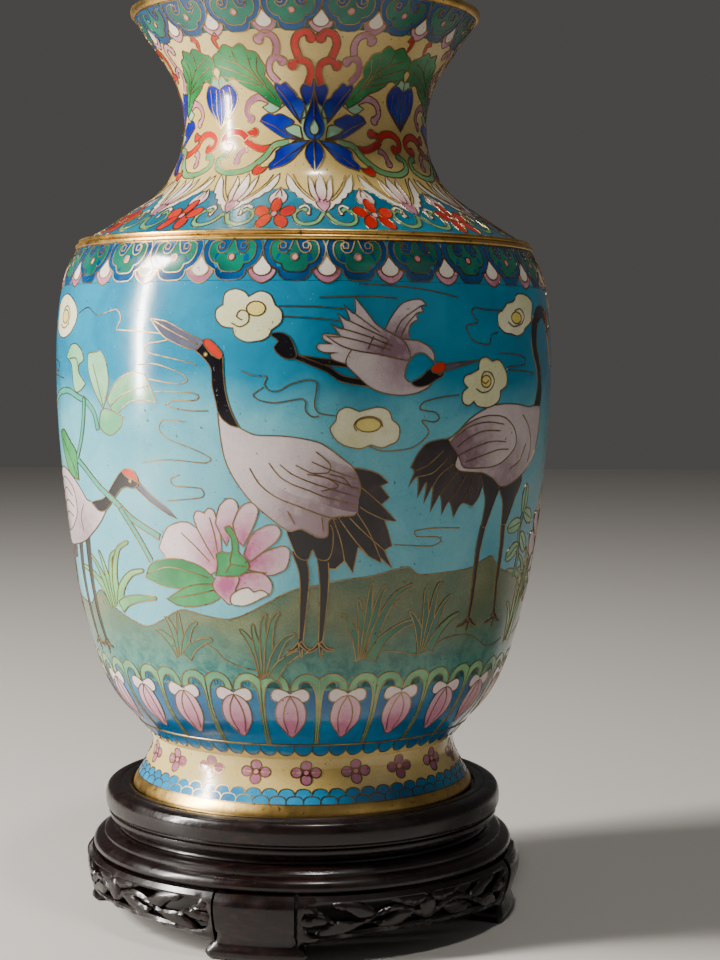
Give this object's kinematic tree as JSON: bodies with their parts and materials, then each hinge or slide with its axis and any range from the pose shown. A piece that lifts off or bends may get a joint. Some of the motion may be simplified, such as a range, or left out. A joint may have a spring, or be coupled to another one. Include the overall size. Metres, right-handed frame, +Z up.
{
  "type": "cloisonne vase on stand",
  "caption": "Baluster cloisonne vase with flared neck, enamelled cranes and lotus in gilt wire, lifting out of a round carved hardwood stand with pierced aprons.",
  "frame": {"origin": "centre of the stand on the surface it rests on", "axes": "+Z up along the vase's axis, -Y towards the front"},
  "size_m": [0.195, 0.196, 0.3559],
  "materials": {
    "copper": "raw copper sheet, hidden under glass",
    "gilt": "satin worn gilding",
    "teal_enamel": "polished opaque glass enamel",
    "buff_enamel": "polished opaque glass enamel",
    "turquoise_enamel": "polished opaque glass enamel",
    "sky_enamel": "polished opaque glass enamel",
    "lappet_enamel": "polished opaque glass enamel",
    "lining_enamel": "glossy counter-enamel",
    "hardwood": "dark reddish-brown, glossy lacquer"
  },
  "bodies": {
    "stand": {"seat_board": "hardwood", "waist_ring": "hardwood", "moulding_ring": "hardwood", "leg_1": "hardwood", "leg_peg_1": "hardwood", "apron_panel_1": "hardwood", "leg_2": "hardwood", "leg_peg_2": "hardwood", "apron_panel_2": "hardwood", "leg_3": "hardwood", "leg_peg_3": "hardwood", "apron_panel_3": "hardwood", "leg_4": "hardwood", "leg_peg_4": "hardwood", "apron_panel_4": "hardwood"},
    "vase": {"neck_shell": "copper", "shoulder_shell": "copper", "upper_belly_shell": "copper", "lower_belly_shell": "copper", "foot_shell": "copper", "base_plate": "copper", "rim_ring": "gilt", "shoulder_ring": "gilt", "foot_ring": "gilt", "belly_border_wire": "gilt", "rim_border_enamel": "teal_enamel", "neck_enamel": "buff_enamel", "shoulder_enamel": "turquoise_enamel", "ruyi_border_enamel": "teal_enamel", "landscape_enamel": "sky_enamel", "lappet_enamel": "lappet_enamel", "waist_scallop_enamel": "turquoise_enamel", "foot_enamel": "buff_enamel", "inside_lining": "lining_enamel", "base_enamel": "lining_enamel"}
  },
  "joints": [
    {"name": "vase_lift", "type": "slide", "parent": "stand", "child": "vase", "axis": [0, 0, 1], "range_m": [0, 0.06]}
  ]
}
